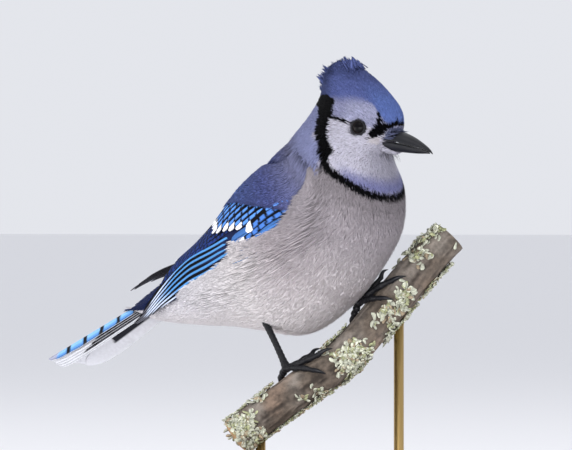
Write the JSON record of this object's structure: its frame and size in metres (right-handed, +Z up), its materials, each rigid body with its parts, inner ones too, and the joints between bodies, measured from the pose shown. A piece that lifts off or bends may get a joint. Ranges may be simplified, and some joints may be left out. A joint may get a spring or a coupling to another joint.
{
  "type": "bird model",
  "caption": "Life-size still model of a perched crested songbird with blue upper parts, folded wings and long tail, on a cut piece of branch held by a small round stand",
  "frame": {"origin": "centre of the round base's flat underside", "axes": "+Z up, +X the way the bird's body heads, +Y the bird's left side; the perch rises towards +X and +Y, 42 degrees from +X"},
  "size_m": [0.2452, 0.15, 0.2069],
  "materials": {
    "blue_plumage": "matte",
    "pale_plumage": "matte",
    "horn": "satin",
    "leg_skin": "matte",
    "eye": "gloss",
    "bark": "matte",
    "base_wood": "satin",
    "rod_brass": "satin"
  },
  "bodies": {
    "root": {"bill_lower": "horn", "bill_upper": "horn", "claw_left_hind": "horn", "claw_left_inner": "horn", "claw_left_middle": "horn", "claw_left_outer": "horn", "claw_right_hind": "horn", "claw_right_inner": "horn", "claw_right_middle": "horn", "claw_right_outer": "horn", "eye_left": "eye", "eye_right": "eye", "foot_left": "leg_skin", "foot_right": "leg_skin", "head": "blue_plumage", "neck": "pale_plumage", "perch": "bark", "shank_left": "leg_skin", "shank_right": "leg_skin", "stand_base": "base_wood", "stand_rod_high": "rod_brass", "stand_rod_low": "rod_brass", "tail": "blue_plumage", "torso": "pale_plumage", "wing_left": "blue_plumage", "wing_right": "blue_plumage"}
  },
  "joints": []
}
